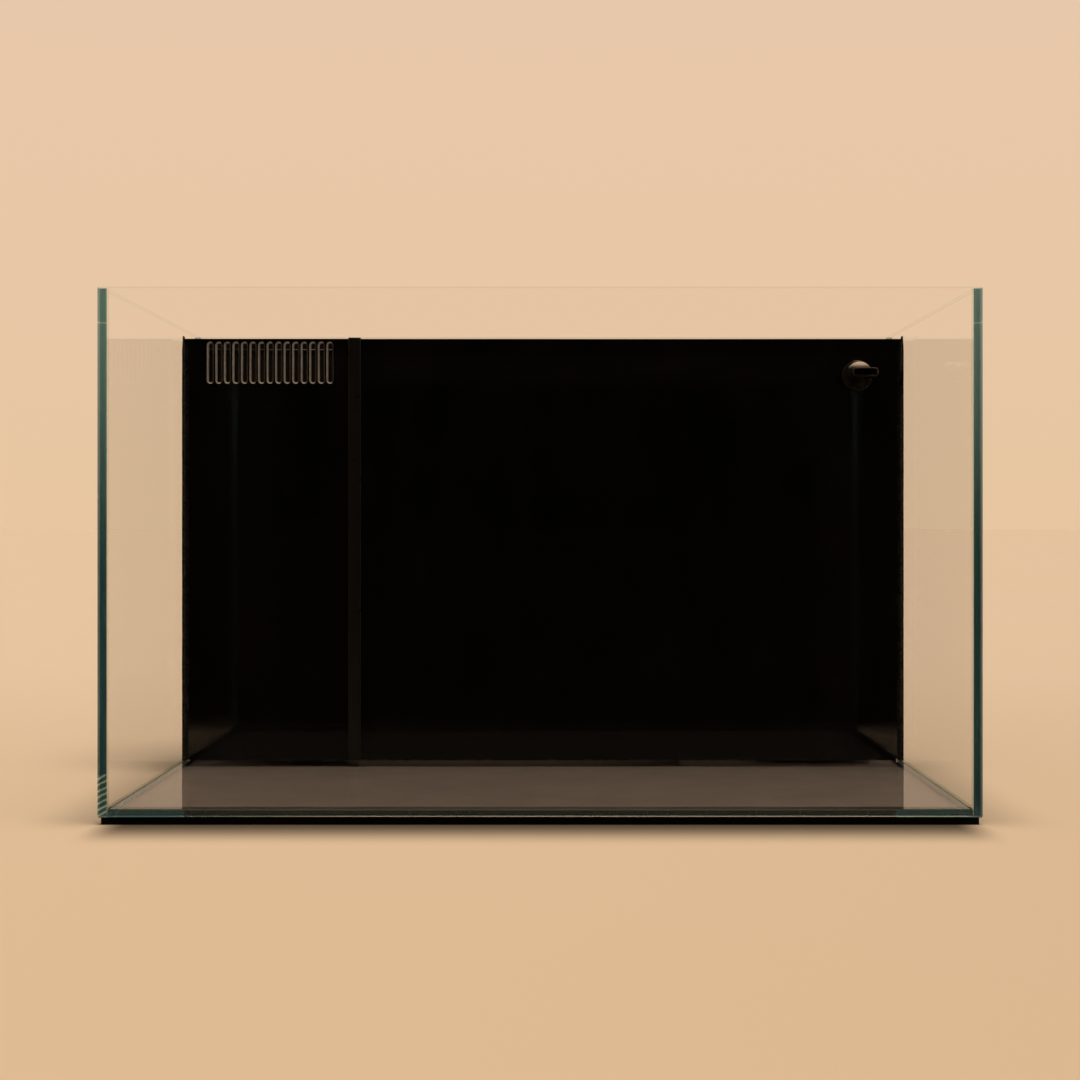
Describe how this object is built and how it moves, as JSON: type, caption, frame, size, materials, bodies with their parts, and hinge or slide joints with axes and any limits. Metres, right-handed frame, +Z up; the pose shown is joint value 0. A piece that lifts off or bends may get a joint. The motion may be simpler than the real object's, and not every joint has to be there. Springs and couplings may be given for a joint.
{
  "type": "glass aquarium tank",
  "caption": "Rimless glass aquarium on a foam mat, with a black acrylic overflow wall hiding filter chambers, a lift-out media basket, a return pump and a swivel return nozzle.",
  "frame": {"origin": "centre of the footprint, on the surface the tank stands on (underside of the foam mat)", "axes": "+Z up, +X to the viewer's right along the front pane, -Y out of the front pane towards the viewer, so the filter chambers are at +Y"},
  "size_m": [0.6, 0.36, 0.365],
  "materials": {
    "glass": "clear float glass with ground and polished edges",
    "clear_silicone": "translucent cured silicone, satin",
    "black_silicone": "black cured silicone, satin",
    "black_acrylic": "cast acrylic sheet, polished faces and saw-cut slots",
    "foam": "black closed-cell foam",
    "film": "black self-adhesive film",
    "black_plastic": "moulded black plastic, fine satin",
    "pump_plastic": "moulded dark grey plastic, fine satin",
    "seal_rubber": "moulded black rubber",
    "vinyl": "clear flexible vinyl hose",
    "nylon": "natural white nylon",
    "magnet": "sintered ferrite in a dark sleeve",
    "ceramic": "unglazed porous ceramic",
    "sponge": "coarse open-cell foam",
    "floss": "white polyester wadding"
  },
  "bodies": {
    "tank": {"front_pane": "glass", "rear_pane": "glass", "left_pane": "glass", "right_pane": "glass", "bottom_pane": "glass", "seam_front_left": "clear_silicone", "seam_front_right": "clear_silicone", "seam_rear_left": "clear_silicone", "seam_rear_right": "clear_silicone", "seam_bottom_front": "clear_silicone", "seam_bottom_rear": "clear_silicone", "seam_bottom_left": "clear_silicone", "seam_bottom_right": "clear_silicone", "wall_bead_left": "black_silicone", "wall_bead_right": "black_silicone", "wall_bead_bottom": "black_silicone", "weir_panel": "black_acrylic", "return_panel": "black_acrylic", "panel_joiner": "black_acrylic", "intake_baffle": "black_acrylic", "pump_baffle": "black_acrylic", "basket_rail_left": "black_acrylic", "basket_rail_right": "black_acrylic", "leveling_mat": "foam", "backing_film": "film", "bulkhead_body": "black_plastic", "bulkhead_nut": "black_plastic", "return_elbow": "black_plastic", "pump_housing": "pump_plastic", "pump_volute": "pump_plastic", "intake_cage": "pump_plastic", "bulkhead_gasket": "seal_rubber", "bush_front": "seal_rubber", "bush_rear": "seal_rubber", "pump_foot_1": "seal_rubber", "pump_foot_2": "seal_rubber", "pump_foot_3": "seal_rubber", "pump_foot_4": "seal_rubber", "cord_gland": "seal_rubber", "return_hose": "vinyl", "hose_clamp_upper": "nylon", "hose_clamp_lower": "nylon", "pump_shaft": "ceramic"},
    "basket": {"basket_shell": "black_acrylic", "tray_lower": "black_acrylic", "tray_upper": "black_acrylic", "basket_handle": "black_acrylic", "ceramic_media": "ceramic", "coarse_sponge": "sponge", "floss_pad": "floss"},
    "rotor": {"impeller": "nylon", "rotor_magnet": "magnet"},
    "dial": {"flow_dial": "black_plastic"},
    "stem": {"nozzle_stem": "black_plastic"},
    "nozzle": {"nozzle_mouth": "black_plastic"}
  },
  "joints": [
    {"name": "basket_lift", "type": "slide", "parent": "tank", "child": "basket", "axis": [0, 0, 1], "range_m": [0, 0.31]},
    {"name": "impeller_spin", "type": "hinge", "parent": "tank", "child": "rotor", "pos_m": [0.22, 0.1375, 0.04], "axis": [1, 0, 0], "continuous": true},
    {"name": "flow_adjust", "type": "hinge", "parent": "tank", "child": "dial", "pos_m": [0.184, 0.1375, 0.04], "axis": [1, 0, 0], "range_deg": [0, 90]},
    {"name": "nozzle_turn", "type": "hinge", "parent": "tank", "child": "stem", "pos_m": [0.2575, 0.082, 0.3253], "axis": [0, 1, 0], "range_deg": [-90, 90]},
    {"name": "nozzle_tilt", "type": "hinge", "parent": "stem", "child": "nozzle", "pos_m": [0.2575, 0.082, 0.3253], "axis": [1, 0, 0], "range_deg": [-25, 25]}
  ]
}
